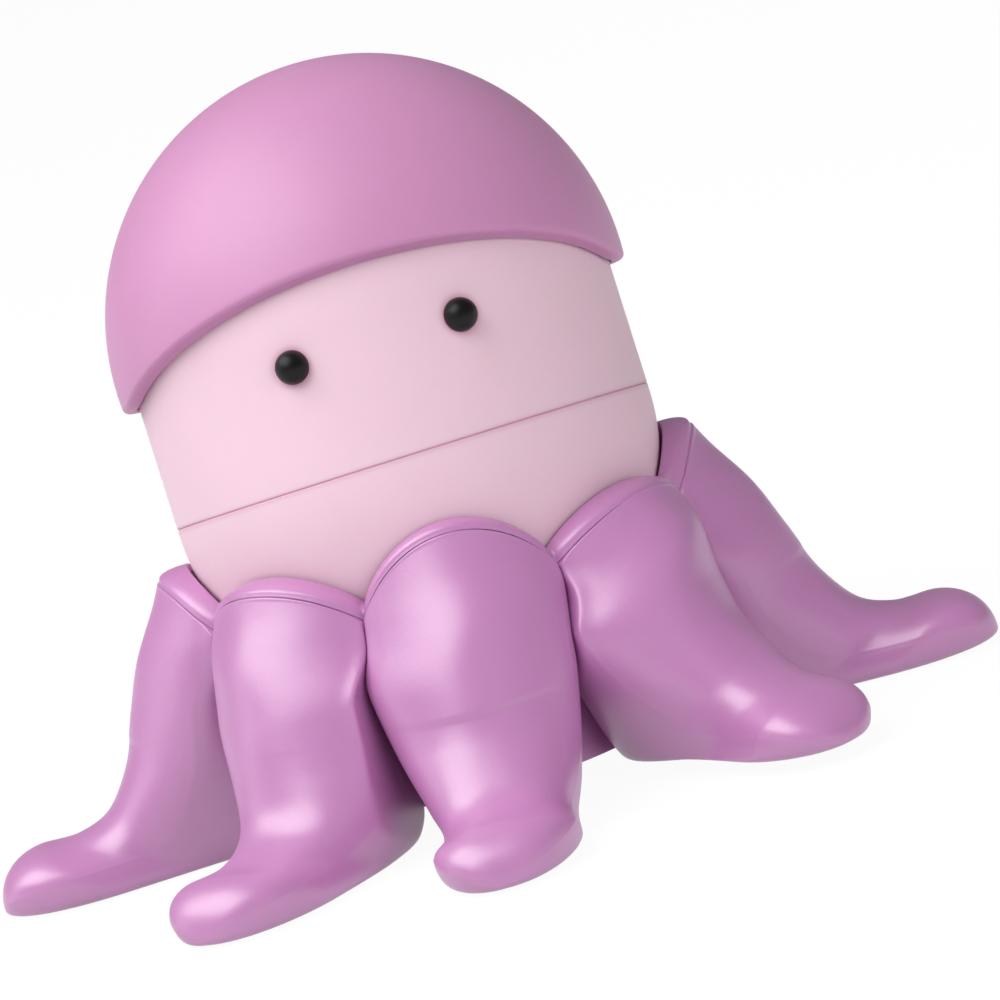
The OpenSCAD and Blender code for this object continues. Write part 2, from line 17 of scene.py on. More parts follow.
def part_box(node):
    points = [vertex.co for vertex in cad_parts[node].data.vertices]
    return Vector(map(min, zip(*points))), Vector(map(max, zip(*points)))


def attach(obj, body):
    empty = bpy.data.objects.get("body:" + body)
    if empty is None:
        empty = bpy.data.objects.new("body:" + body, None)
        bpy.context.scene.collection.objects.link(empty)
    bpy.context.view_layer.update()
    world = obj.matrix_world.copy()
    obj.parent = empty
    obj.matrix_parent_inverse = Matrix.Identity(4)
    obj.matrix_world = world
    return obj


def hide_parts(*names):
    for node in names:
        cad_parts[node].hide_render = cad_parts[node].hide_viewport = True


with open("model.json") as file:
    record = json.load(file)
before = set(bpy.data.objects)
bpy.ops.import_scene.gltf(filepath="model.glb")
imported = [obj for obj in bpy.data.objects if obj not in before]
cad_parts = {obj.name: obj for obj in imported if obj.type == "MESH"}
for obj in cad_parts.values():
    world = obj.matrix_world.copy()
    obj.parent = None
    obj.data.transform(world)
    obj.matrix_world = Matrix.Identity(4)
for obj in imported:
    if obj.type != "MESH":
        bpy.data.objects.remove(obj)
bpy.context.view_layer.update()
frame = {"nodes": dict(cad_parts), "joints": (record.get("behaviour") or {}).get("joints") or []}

# %% [markdown]
# ## Sizes
# The shapes below are formulas, and a formula needs the same driving sizes as the solids. They are
# written in millimetres, as on a drawing, and a mesh is turned to metres only when it is made. What
# the frame can tell is read from it: the reach of the toes and the height of the ball.

# %% Sizes of the head, the legs and the collar
MM = 0.001
BALL_Z = frame["joints"][0]["pos_m"][2] / MM
TOE_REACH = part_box("leg_right")[1][0] / MM

HEAD_R = 24.6
HEAD_WALL = 2.0
SEAM_Z = 0.4
SEAM_GAP = 0.2
DOME_Z = 15.3
HEAD_TILT = np.radians(11)
HEAD_LEAN = np.radians(1.6)
print("ball centre at", round(BALL_Z, 2), "mm, toes reach", round(TOE_REACH, 2), "mm")

# %% [markdown]
# ## From a grid of points to a mesh
# A surface with two parameters gives a grid of points: rows along one parameter and columns along
# the other. Every four neighbours make a face. A grid can be closed round its columns, as on a tube,
# or round its rows too, as on a ring. An end that shrinks to one point is closed with a fan.

# %% Mesh from a grid
def grid_faces(rows, columns, ring):
    """Faces between neighbours of a grid whose columns close, and whose rows close too for a ring."""
    index = np.arange(rows * columns).reshape(rows, columns)
    index = np.hstack([index, index[:, :1]])
    if ring:
        index = np.vstack([index, index[:1]])
    corners = [index[:-1, :-1], index[:-1, 1:], index[1:, 1:], index[1:, :-1]]
    return np.stack(corners, axis=-1).reshape(-1, 4)


def fan_faces(edge, pole):
    """Triangles from each side of a closed edge to one pole."""
    return np.stack([np.roll(edge, -1), edge, np.full_like(edge, pole)], axis=-1)


def mesh_piece(name, points, ring=False, poles=(None, None)):
    """Object from a grid of points in millimetres, with a fan at each end that has a pole."""
    rows, columns = points.shape[:2]
    vertices = [points.reshape(-1, 3)]
    faces = grid_faces(rows, columns, ring).tolist()
    count = rows * columns
    edges = (np.arange(columns), np.arange(columns)[::-1] + (rows - 1) * columns)
    for edge, pole in zip(edges, poles):
        if pole is not None:
            vertices.append(np.asarray(pole, float).reshape(1, 3))
            faces += fan_faces(edge, count).tolist()
            count += 1
    mesh = bpy.data.meshes.new(name)
    mesh.from_pydata(np.vstack(vertices) * MM, [], faces)
    tidy = bmesh.new()
    tidy.from_mesh(mesh)
    bmesh.ops.remove_doubles(tidy, verts=tidy.verts, dist=1e-3 * MM)
    bmesh.ops.dissolve_degenerate(tidy, edges=tidy.edges, dist=1e-3 * MM)
    if tidy.calc_volume(signed=True) < 0:
        bmesh.ops.reverse_faces(tidy, faces=tidy.faces)
    tidy.to_mesh(mesh)
    tidy.free()
    mesh.shade_smooth()
    piece = bpy.data.objects.new(name, mesh)
    bpy.context.scene.collection.objects.link(piece)
    print(name, len(mesh.vertices), "points,", len(mesh.polygons), "faces")
    return piece


def dress(piece, body, node, finish):
    """Rides a piece on its body, in place of its solid and its finish."""
    piece.data.materials.append(finish)
    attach(piece, body)
    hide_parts(node)

# %% [markdown]
# ## Finishes
# Moulded vinyl and plastic aren't one flat colour. Light enters the surface a little way, the colour
# drifts slightly over a piece, and the skin has a fine grain that breaks up the highlights. All the
# patterns read Object coordinates in metres, so they stay on the piece in any view and any pose.

# %% Finish helper
DRIFT_SCALE = 45
DRIFT_RANGE = (0.3, 0.7)
ROUGHNESS_SPREAD = 0.05
SKIN_TINT = (1.0, 0.45, 0.6)
SKIN_DEPTH = 2.5 * MM


def with_painted_shade(nodes, links, colour_out, painted_shade):
    """Colour with painted shade, a darker red, mixed in by the share held in a point attribute."""
    share = nodes.new("ShaderNodeAttribute")
    share.attribute_name = "painted_shade"
    mix = nodes.new("ShaderNodeMix")
    mix.data_type = "RGBA"
    mix.inputs["B"].default_value = (*painted_shade, 1)
    links.new(share.outputs["Fac"], mix.inputs["Factor"])
    links.new(colour_out, mix.inputs["A"])
    return mix.outputs["Result"]


def plastic(name, colour, roughness, grain, depth, drift=0.03, subsurface=0.0, shine=0.5, painted_shade=None):
    """Principled plastic: two noises, a broad one that drifts the colour and a fine one for the grain,
    which has so many cells to the metre and a depth in metres."""
    material = bpy.data.materials.new(name)
    material.use_nodes = True
    nodes = material.node_tree.nodes
    links = material.node_tree.links
    shader = nodes["Principled BSDF"]
    place = nodes.new("ShaderNodeTexCoord")
    broad = nodes.new("ShaderNodeTexNoise")
    broad.inputs["Scale"].default_value = DRIFT_SCALE
    broad.inputs["Detail"].default_value = 3
    ramp = nodes.new("ShaderNodeValToRGB")
    for stop, position, factor in zip(ramp.color_ramp.elements, DRIFT_RANGE, (1 - drift, 1 + drift)):
        stop.position = position
        stop.color = (*[c * factor for c in colour], 1)
    fine = nodes.new("ShaderNodeTexNoise")
    fine.inputs["Scale"].default_value = grain
    fine.inputs["Detail"].default_value = 2
    bump = nodes.new("ShaderNodeBump")
    bump.inputs["Strength"].default_value = 1
    bump.inputs["Distance"].default_value = depth
    spread = nodes.new("ShaderNodeMapRange")
    spread.inputs["To Min"].default_value = roughness - ROUGHNESS_SPREAD
    spread.inputs["To Max"].default_value = roughness + ROUGHNESS_SPREAD
    links.new(place.outputs["Object"], broad.inputs["Vector"])
    links.new(place.outputs["Object"], fine.inputs["Vector"])
    links.new(broad.outputs["Fac"], ramp.inputs["Fac"])
    colour_out = ramp.outputs["Color"]
    # Painted shade: a darker red mixed into the colour where the point attribute says, along the seam
    # and round the eyes.
    if painted_shade:
        colour_out = with_painted_shade(nodes, links, colour_out, painted_shade)
    links.new(colour_out, shader.inputs["Base Color"])
    links.new(fine.outputs["Fac"], bump.inputs["Height"])
    links.new(bump.outputs["Normal"], shader.inputs["Normal"])
    links.new(fine.outputs["Fac"], spread.inputs["Value"])
    links.new(spread.outputs["Result"], shader.inputs["Roughness"])
    shader.inputs["Specular IOR Level"].default_value = shine
    shader.inputs["Subsurface Weight"].default_value = subsurface
    shader.inputs["Subsurface Radius"].default_value = SKIN_TINT
    shader.inputs["Subsurface Scale"].default_value = SKIN_DEPTH
    return material

# %% The six finishes
leg_finish = plastic("leg_vinyl", (0.525, 0.216, 0.468), 0.38, 2600, 0.014 * MM,
                     subsurface=0.2, shine=1.0)
leg_finish.node_tree.nodes["Principled BSDF"].inputs["IOR"].default_value = 1.6
cap_finish = plastic("cap_vinyl", (0.56, 0.25, 0.458), 0.48, 2600, 0.014 * MM,
                     subsurface=0.2, shine=0.6)
# The face's second colour is painted shade, a darker red laid along the seam and round the eyes.
face_finish = plastic("face_vinyl", (0.8, 0.56, 0.66), 0.55, 3200, 0.008 * MM, drift=0.02,
                      subsurface=0.25, painted_shade=(0.62, 0.2, 0.34))
eye_finish = plastic("eye_bead", (0.002, 0.002, 0.002), 0.42, 1500, 0.002 * MM,
                     drift=0.2, shine=0.3)
washer_finish = plastic("washer_nylon", (0.8, 0.8, 0.78), 0.5, 2000, 0.01 * MM, subsurface=0.1)
steel_finish = plastic("neck_steel", (0.6, 0.6, 0.6), 0.35, 900, 0.01 * MM, drift=0.08)
steel_finish.node_tree.nodes["Principled BSDF"].inputs["Metallic"].default_value = 1
print("finishes:", [m.name for m in bpy.data.materials if m.users == 0])

# %% [markdown]
# ## The legs
# A leg is a boot: a shin that leans out from the collar, a knee, an instep and a blunt toe. It could
# be sculpted, but a loft says it better: eight sections down the leg, each with an outside point, an
# inside point and a half width, joined by a smooth curve. A place along a leg is counted in sections
# from the top, so that place 3.4 lies a little below the fourth section.

# %% Sections of a leg
LEGS = ["leg_front", "leg_front_right", "leg_right", "leg_back_right",
        "leg_back", "leg_back_left", "leg_left", "leg_front_left"]
HALF_PITCH = np.pi / len(LEGS)
HUB_R = 19.0
BACK_R = HUB_R - 4
HEEL_R = HUB_R - 1
BALL_SEAT = HEAD_R + 0.35
LEVEL_KEYS = 3
SHIN_STEP = 5.0
SHIN_H = 16.5
TOP_H = SHIN_H + LEVEL_KEYS * SHIN_STEP
INSTEP_R = 39.2
TOE_ROUND = 5.2
TOE_START = TOE_REACH - TOE_ROUND
SOLE_Z = -1.4
# Outside radius and its height, inside radius and its height, half width.
LEG_KEYS = np.array([
    [HEAD_R + 1.9, TOP_H, BACK_R, TOP_H, 9.1],
    [29.0, TOP_H - SHIN_STEP, BACK_R, TOP_H - SHIN_STEP, 9.45],
    [32.1, SHIN_H + SHIN_STEP, BACK_R, SHIN_H + SHIN_STEP, 10.0],
    [34.2, SHIN_H, HEEL_R, SHIN_H, 10.2],
    [36.3, 11.2, HEEL_R, 8.7, 9.2],
    [INSTEP_R, 7.2, 20.0, 1.4, 7.6],
    [(INSTEP_R + TOE_START) / 2, 5.8, 25.4, SOLE_Z, 6.5],
    [TOE_START, 5.8, TOE_START - 8.6, SOLE_Z, 7.2],
])
LAST_KEY = len(LEG_KEYS) - 1
print(len(LEG_KEYS), "sections down a leg,", len(LEGS), "legs")

# %% [markdown]
# The legs share these sections, and short lists make them differ, with one value for each leg. The
# ring of legs is turned a little from the face. Below the collar the shins, the feet and the edges
# between the legs turn back, each by its own angle. Toes swing sideways, and the front right foot is
# short, arched and lifted. The moulding leaves a faint step at the knee and a line down each side.

# %% How the legs differ
RING_TURN = np.radians(2.5)
SHIN_TURN = np.radians([0, -3.5, 0, 1.5, 0, -1.5, 0, 6]) - RING_TURN
FOOT_TURN = np.radians([0, 1.5, 0, 1.5, 0, -1.5, 0, 9]) - RING_TURN
EDGE_TURN = np.radians([-1.1, 0, 0, 0, 0, 0, 0, 0]) - RING_TURN
TURN_PLACES = (1.6, LEVEL_KEYS)
FOOT_PLACES = (LEVEL_KEYS, LEVEL_KEYS + 2)
TOE_SWING = [-2.2, -3, -2.5, 0.8, -0.6, -0.9, 3, -2.2]
SWING_START = 30.0
SWING_POWER = 1.2
TOE_SHORT = [0, 2, 0, 0.8, 0, 1.2, 0, 0.2]
TOE_FLAT = [0, 0.25, 0, 0, 0, 0, 0, 0]
FOOT_LIFT = [0, 1.2, 0, 0, 0, 0, 0, 0]
HEEL_LIFT = 0.5
INSTEP_RISE = [0, 2.8, 0, 0, 0, 0, 0, 0]
INSTEP_START = 27.0
ANKLE_IN = [0, 0, 0, 0, 0, 0, 0, 1]
ANKLE_PLACE = 4.7
ANKLE_SPREAD = 0.8
KNEE_STEP = [0.3, 0.05, 0.1, 0.1, 0.15, 0.1, 0.1, 0.03]
KNEE_DOWN = (3.4, 3.55)
KNEE_BACK = (3.6, 4.7)
KNEE_POWER = 1.5
ROUND_SIDES = 160
PARTING = 34 * 2 * np.pi / ROUND_SIDES
PARTING_W = 0.02
PARTING_H = 0.06
PARTING_PLACES = (2.2, 2.6)
NOTCH_DROP = 8.0
ARCH_RISE = [6.4, 3.5, 4.8, 4.8, 5.4, 4.8, 4.4, 4.3]
SCALLOP_POWER = 0.85
BAND_H = 1.0
NOTCH_H = 1.5
print("the ring is turned by", round(np.degrees(RING_TURN), 2), "degrees")

# %% Curves of a leg
def spline(keys, x):
    """Catmull-Rom curve: a cubic between two keys whose slope at a key is half the step between the
    keys on either side of it. A key before the first one carries its first step straight on."""
    keys = np.vstack([2 * keys[0] - keys[1], keys, keys[-1]])
    i = np.clip(np.floor(x).astype(int), 0, len(keys) - 4)
    f = (x - i)[..., None]
    a, b, c, d = [keys[i + k] for k in range(4)]
    square = (2 * a - 5 * b + 4 * c - d) * f**2
    cube = (3 * b - a - 3 * c + d) * f**3
    return 0.5 * (2 * b + (c - a) * f + square + cube)


def soft_max(a, b, width):
    """The larger of two values, with a parabola of the given width where they cross."""
    return np.maximum(a, b) + np.maximum(width - np.abs(a - b), 0) ** 2 / (4 * width)


def soft_min(a, b, width):
    """The smaller of two values, with a parabola of the given width where they cross."""
    return -soft_max(-a, -b, width)


def ease(x, low, high):
    """Share from 0 to 1 of the way from low to high, with a flat start and end."""
    f = np.clip((x - low) / (high - low), 0, 1)
    return f**2 * (3 - 2 * f)


def bulge(v, power):
    """A power that keeps the sign, which makes an ellipse squarer where it is under one."""
    return np.sign(v) * np.abs(v) ** power


def scallop(a):
    """Share of a scallop's rise at an angle from the middle of its leg: a flattened parabola."""
    return np.maximum(0, 1 - (a / HALF_PITCH) ** 2) ** SCALLOP_POWER


def band_top(i, a):
    """Top of the collar over leg i: the notch, plus the scallop's rise."""
    return BALL_Z - NOTCH_DROP + ARCH_RISE[i] * scallop(a)


def arch_z(i, a):
    """Top of leg i under the collar's band, which is taller in the notches than over the leg."""
    return band_top(i, a) - NOTCH_H + (NOTCH_H - BAND_H) * scallop(a)

# %% [markdown]
# Round a section goes an ellipse, pinched on the shin and squarer on the foot. The toe's end is a
# quarter turn: the section moves out with the sine of the turn while its height and width shrink with
# the cosine. Then three limits act on every point. The sole is flat on the ground, a leg keeps half a
# gap from the plane between it and its neighbour, and its back stays outside the hub and the ball.
# The first two are eased over a short width, as a moulding's edges are, and a soft web fills the
# valley beside the plane.

# %% Surface of a leg
PINCH = 0.25
FOOT_SQUARE = 0.2
TOE_TIP_Z = 1.0
TOE_POWER = 0.9
SOLE_EDGE = 0.9
LEG_GAP = 0.02
SIDE_EDGE = 0.4
WEB_H = 0.8
WEB_W = 2.0
TOP_GUESS = 1.2
TOP_ROUNDS = 8


def leg_sections(x):
    """Section at place x: the keys' curve, then the quarter turn of the toe."""
    turn = np.pi / 2 * np.clip(x - LAST_KEY, 0, 1)
    key = spline(LEG_KEYS, np.minimum(x, LAST_KEY))
    r_out, z_out, r_in, z_in, width = np.moveaxis(key, -1, 0)
    shrink = np.cos(turn)
    return (
        r_out + TOE_ROUND * np.sin(turn),
        TOE_TIP_Z + (z_out - TOE_TIP_Z) * shrink**TOE_POWER,
        r_in + (TOE_REACH - r_in) * np.sin(turn),
        TOE_TIP_Z + (z_in - TOE_TIP_Z) * shrink,
        width * shrink**TOE_POWER,
    )


def boot_section(i, x, phi):
    """Point at angle phi round the section at place x, as radius, sideways and height, and how far it
    faces out. A bell curve hollows the ankle and another one draws the parting line."""
    r_out, z_out, r_in, z_in, width = leg_sections(x)
    blend = ease(x, *FOOT_PLACES)
    power = 1 - FOOT_SQUARE * blend
    c = bulge(np.cos(phi), power)
    s = bulge(np.sin(phi), power) * (1 - PINCH * (1 - blend) * np.cos(phi) ** 2)
    r = (r_out + r_in) / 2 + (r_out - r_in) / 2 * c
    z = (z_out + z_in) / 2 + (z_out - z_in) / 2 * c
    front = np.maximum(c, 0)
    r = r - ANKLE_IN[i] * np.exp(-(((x - ANKLE_PLACE) / ANKLE_SPREAD) ** 2)) * front
    knee = ease(x, *KNEE_DOWN) - ease(x, *KNEE_BACK)
    r = r - KNEE_STEP[i] * knee * np.maximum(np.cos(phi), 0) ** KNEE_POWER
    line = np.exp(-((np.abs(np.angle(np.exp(1j * phi))) - PARTING) / PARTING_W) ** 2)
    width = width + PARTING_H * line * ease(x, *PARTING_PLACES)
    return r, width * s, z, front


def in_sector(i, r, side, z):
    """Keeps a point half a gap from the planes to the next legs, which turn back below the collar. The
    web moves it out along the plane, by a parabola of its distance from the plane."""
    low = 1 - ease(z, SHIN_H, SHIN_H + SHIN_STEP)
    edge = HALF_PITCH + np.where(side > 0, EDGE_TURN[i], -EDGE_TURN[i - 1]) * low
    limit = r * np.tan(edge) - LEG_GAP / 2 / np.cos(edge)
    apart = np.maximum(limit - np.abs(side), 0)
    kept = soft_min(np.abs(side), limit, SIDE_EDGE)
    web = WEB_H * np.maximum(0, 1 - apart / WEB_W) ** 2 * ease(z, 0, TOP_H)
    return r + web, np.sign(side) * (kept + web * np.tan(edge))


def leg_raw(i, x, phi):
    """Point of leg i at place x and angle phi round the section: swung sideways and arched towards the
    toe, turned about the upright axis, lifted, and kept in its sector."""
    r, side, z, front = boot_section(i, x, phi)
    share = np.clip((r - SWING_START) / (TOE_REACH - SWING_START), 0, 1) ** SWING_POWER
    foot = np.clip((r - INSTEP_START) / (TOE_REACH - INSTEP_START), 0, 1)
    z = z + INSTEP_RISE[i] * (4 * foot * (1 - foot)) ** 2 * front
    z = z * (1 - TOE_FLAT[i] * share)
    side = side + TOE_SWING[i] * share
    angle = SHIN_TURN[i] * ease(x, *TURN_PLACES)
    angle = angle + (FOOT_TURN[i] - SHIN_TURN[i]) * ease(x, *FOOT_PLACES)
    r, side = r * np.cos(angle) - side * np.sin(angle), r * np.sin(angle) + side * np.cos(angle)
    lift = FOOT_LIFT[i] * (1 + HEEL_LIFT * (1 - share))
    z = soft_max(z + FOOT_LIFT[i] * share, lift, SOLE_EDGE)
    r, side = in_sector(i, r, side, z)
    return r - TOE_SHORT[i] * share, side, z


def clear_of_core(r, side, z):
    """Moves points out to the radius where a leg clears the hub and the ball."""
    ball = np.sqrt(np.maximum(0, BALL_SEAT**2 - (z - BALL_Z) ** 2))
    out = np.maximum(1, np.maximum(HUB_R + LEG_GAP, ball) / np.hypot(r, side))
    return np.stack([r * out, side * out, z], axis=-1)


def top_place(i, phi):
    """Place along leg i where its surface meets the arch under the collar, by repeated substitution."""
    x = np.full_like(phi, TOP_GUESS)
    for _ in range(TOP_ROUNDS):
        r, side, _z = leg_raw(i, x, phi)
        x = (TOP_H - arch_z(i, np.arctan2(side, r))) / SHIN_STEP
    return x

# %% Grid of a leg
EDGE_R = 0.22
LIP_ROWS = 6
SHIN_ROWS = 60
FOOT_ROWS = 110
TOE_ROWS = 40
TOE_CROWD = 1.5


def leg_angle(i):
    """Angle of leg i about the upright axis, counted from the front, with the turn of the ring."""
    return i * 2 * HALF_PITCH - np.pi / 2 + RING_TURN


def turned(points, angle):
    """Points turned about the upright axis."""
    c, s = np.cos(angle), np.sin(angle)
    x = points[..., 0] * c - points[..., 1] * s
    y = points[..., 0] * s + points[..., 1] * c
    return np.stack([x, y, points[..., 2]], axis=-1)


def leg_points(i):
    """Rows of leg i from the middle of its top, over a rounded edge, down the shin to the toe."""
    phi = np.linspace(0, 2 * np.pi, ROUND_SIDES, endpoint=False)
    start = top_place(i, phi) + EDGE_R / SHIN_STEP
    shin = start + (LEVEL_KEYS - start) * np.linspace(0, 1, SHIN_ROWS, endpoint=False)[:, None]
    foot = np.linspace(LEVEL_KEYS, LAST_KEY, FOOT_ROWS, endpoint=False)
    toe = LAST_KEY + 1 - (1 - np.linspace(0, 1, TOE_ROWS, endpoint=False)) ** TOE_CROWD
    below = np.concatenate([foot, toe])[:, None]
    x = np.vstack([shin, np.broadcast_to(below, (below.size, phi.size))])
    side_rows = clear_of_core(*leg_raw(i, x, phi))
    edge = side_rows[0]
    middle = (edge + edge[(ROUND_SIDES // 2 - np.arange(ROUND_SIDES)) % ROUND_SIDES]) / 2
    turn = np.linspace(np.pi / 2, 0, LIP_ROWS, endpoint=False)[:, None, None]
    inward = middle - edge
    step = EDGE_R * inward / np.maximum(np.linalg.norm(inward, axis=-1, keepdims=True), 1.0)
    lip = edge + step * (1 - np.cos(turn)) + np.array([0, 0, EDGE_R]) * np.sin(turn)
    top = middle + np.array([0, 0, EDGE_R])
    rows = np.concatenate([[top], lip, side_rows])
    return turned(rows, leg_angle(i))


for i, node in enumerate(LEGS):
    rows = leg_points(i)
    tip = turned(clear_of_core(*leg_raw(i, np.array(LAST_KEY + 1.0), np.array(0.0))), leg_angle(i))
    dress(mesh_piece(node + "_boot", rows, poles=(None, tip)), "legs", node, leg_finish)

# %% [markdown]
# ## The collar
# A narrow band runs over the top of all eight legs, up over each one and down into a notch between.
# It could be a bevelled curve, but its outside has to follow the legs' own bulge, so it is a ring of
# outlines: at each angle the band starts at the leg's top, stands a little behind the leg's skin and
# rolls over to the ball. The leg's radius in a given direction has no plain formula, so it is closed
# in on by halving.

# %% Ring of the collar
BAND_INSET = 0.12
GROOVE_W = 0.04
WALL_SHARE = 0.3
ROLL_POWER = 0.9
TOP_EDGE = 0.2
COLLAR_R = HEAD_R + 0.36
STATIONS = 64
HALVINGS = 24


def skin_r(z, a):
    """Outside radius of a leg at height z and an angle from its middle: the angle round the section is
    halved in on until the section's point lies in that direction from the axis."""
    r_out, _z, r_in, _z, width = np.moveaxis(spline(LEG_KEYS, (TOP_H - z) / SHIN_STEP), -1, 0)
    low, high = np.zeros_like(r_out), np.full_like(r_out, np.pi / 2)
    for _ in range(HALVINGS):
        phi = (low + high) / 2
        r = (r_out + r_in) / 2 + (r_out - r_in) / 2 * np.cos(phi)
        side = width * np.sin(phi) * (1 - PINCH * np.cos(phi) ** 2)
        short = np.arctan2(side, r) < np.abs(a)
        low, high = np.where(short, phi, low), np.where(short, high, phi)
    return np.hypot(r, side)


def collar_points(i):
    """Outlines of the collar over leg i: up the outside, a quarter of a squared ellipse over the
    top, and down beside the ball."""
    a = np.linspace(-HALF_PITCH, HALF_PITCH, STATIONS, endpoint=False)
    low = arch_z(i, a) + GROOVE_W
    high = band_top(i, a)
    shoulder = low + (high - low) * WALL_SHARE
    inside = np.sqrt(COLLAR_R**2 - (high - TOP_EDGE - BALL_Z) ** 2)
    wall_z = low + (shoulder - low) * np.linspace(0, 1, 5)[:, None]
    wall_r = skin_r(wall_z, a) - BAND_INSET
    turn = np.linspace(0, np.pi / 2, 14)[1:, None]
    over_r = inside + TOP_EDGE + (wall_r[-1] - inside - TOP_EDGE) * bulge(np.cos(turn), ROLL_POWER)
    over_z = shoulder + (high - shoulder) * bulge(np.sin(turn), ROLL_POWER)
    edge = np.linspace(0, np.pi / 2, 5)[1:, None]
    drop_r = inside + TOP_EDGE * (1 - np.sin(edge))
    drop_z = high - TOP_EDGE * (1 - np.cos(edge))
    back_z = np.linspace(1, 0, 6)[1:, None] * (high - TOP_EDGE - low) + low
    back_r = np.sqrt(COLLAR_R**2 - (back_z - BALL_Z) ** 2)
    r = np.vstack([wall_r, over_r, drop_r, back_r])
    z = np.vstack([wall_z, over_z, drop_z, back_z])
    points = np.stack([r * np.cos(a), r * np.sin(a), z], axis=-1)
    return turned(points, leg_angle(i))


ring_rows = np.concatenate([collar_points(i) for i in range(len(LEGS))], axis=1)
dress(mesh_piece("scalloped_collar", ring_rows, ring=True), "legs", "collar", leg_finish)

# %% [markdown]
# ## The head
# The head comes apart at the fine seam under the eyes: a face with a straight wall and a dome, and a
# jaw that is half a ball. Both are turned shapes, a profile swept round the head's axis. The profiles
# are arcs and straight runs, with a small radius on each edge of the seam. Shade is painted in a darker
# red along the seam and round the eyes, where a point attribute tells the finish how much to paint.

# %% Place and profile helpers
HEAD_TURN = np.array(Matrix.Rotation(-HEAD_TILT, 3, "X") @ Matrix.Rotation(-HEAD_LEAN, 3, "Y"))
BALL_CENTRE = np.array([0, 0, BALL_Z])
FRONT_CROWD = 0.6


def in_head(points):
    """Points of the head's own frame, tilted back, leaned and lifted to the ball's centre."""
    return points @ HEAD_TURN.T + BALL_CENTRE


def out_of_head(points):
    """Points of the toy's frame, brought back to the head's own frame."""
    return (points - BALL_CENTRE) @ HEAD_TURN


def arc(centre, radius, start, stop, count):
    """Points on a circle between two angles in degrees, as radius and height."""
    turn = np.radians(np.linspace(start, stop, count))
    return np.stack([centre[0] + radius * np.cos(turn), centre[1] + radius * np.sin(turn)], axis=-1)


def run(start, stop, count):
    """Points inside a straight run, without its ends."""
    f = np.linspace(0, 1, count + 2)[1:-1, None]
    return np.array(start) * (1 - f) + np.array(stop) * f


def front_heavy(count):
    """Angles round the head from the front, closer together at the face: each is shifted by a sine."""
    turn = np.linspace(0, 2 * np.pi, count, endpoint=False)
    return turn - FRONT_CROWD * np.sin(turn)


def lathe(profile, turn):
    """Profile of radius and height swept round the axis, with angle 0 at the front."""
    r, z = profile[:, 0][:, None], profile[:, 1][:, None]
    return np.stack([r * np.sin(turn), -r * np.cos(turn), z * np.ones_like(turn)], axis=-1)

# %% Painted shade along the seam and round the eyes
FACE_LOW = SEAM_Z + SEAM_GAP
EYE_D = 3.4
EYE_X = 8.6
EYE_SHIFT = 0.2
EYE_Z = 12.2
EYE_PROUD = 0.15
# Painted shade: its strongest share at the seam and at the eyes' edge, and how wide it spreads.
SEAM_SHADE = 0.5
SEAM_SPREAD = 0.22
EYE_SHADE = 0.45
EYE_SPREAD = 0.45


def eye_centre(side):
    """Centre of the eye on one side, on the face's wall, with both eyes shifted a little to +X."""
    x = side * EYE_X + EYE_SHIFT
    return np.array([x, -np.sqrt(HEAD_R**2 - x**2), EYE_Z])


def paint_shade(piece):
    """Point attribute for the painted shade: a bell curve across the seam, and a ring round each eye.
    """
    flat = np.empty(3 * len(piece.data.vertices))
    piece.data.vertices.foreach_get("co", flat)
    points = out_of_head(flat.reshape(-1, 3) / MM)
    share = SEAM_SHADE * np.exp(-(((points[:, 2] - FACE_LOW) / SEAM_SPREAD) ** 2))
    for side in (-1, 1):
        away = np.linalg.norm(points - eye_centre(side), axis=-1)
        share = np.maximum(share, EYE_SHADE * np.exp(-(((away - EYE_D / 2) / EYE_SPREAD) ** 2)))
    layer = piece.data.attributes.new("painted_shade", "FLOAT", "POINT")
    layer.data.foreach_set("value", share)

# %% Face
SEAM_EDGE = 0.15
FACE_IN = HEAD_R - HEAD_WALL
# Degrees up the dome where the hole for the cap's peg begins, outside and inside.
HOLE_ANGLE = 82.8
HOLE_ANGLE_IN = 82.2

face_profile = np.vstack([
    arc((0, DOME_Z), HEAD_R, HOLE_ANGLE, 0, 40),
    run((HEAD_R, DOME_Z), (HEAD_R, FACE_LOW + SEAM_EDGE), 90),
    arc((HEAD_R - SEAM_EDGE, FACE_LOW + SEAM_EDGE), SEAM_EDGE, 0, -90, 8),
    run((HEAD_R - SEAM_EDGE, FACE_LOW), (FACE_IN, FACE_LOW), 3),
    run((FACE_IN, FACE_LOW), (FACE_IN, DOME_Z), 6),
    arc((0, DOME_Z), FACE_IN, 0, HOLE_ANGLE_IN, 20),
])
face = mesh_piece("face_wall", in_head(lathe(face_profile, front_heavy(420))), ring=True)
paint_shade(face)
dress(face, "head", "face_shell", face_finish)

# %% Jaw
SPIGOT_R = FACE_IN - 0.05
SPIGOT_WALL = 1.5
SPIGOT_TOP = SEAM_Z + 4
SPIGOT_EDGE = 0.1
NECK_HOLE = 7.9

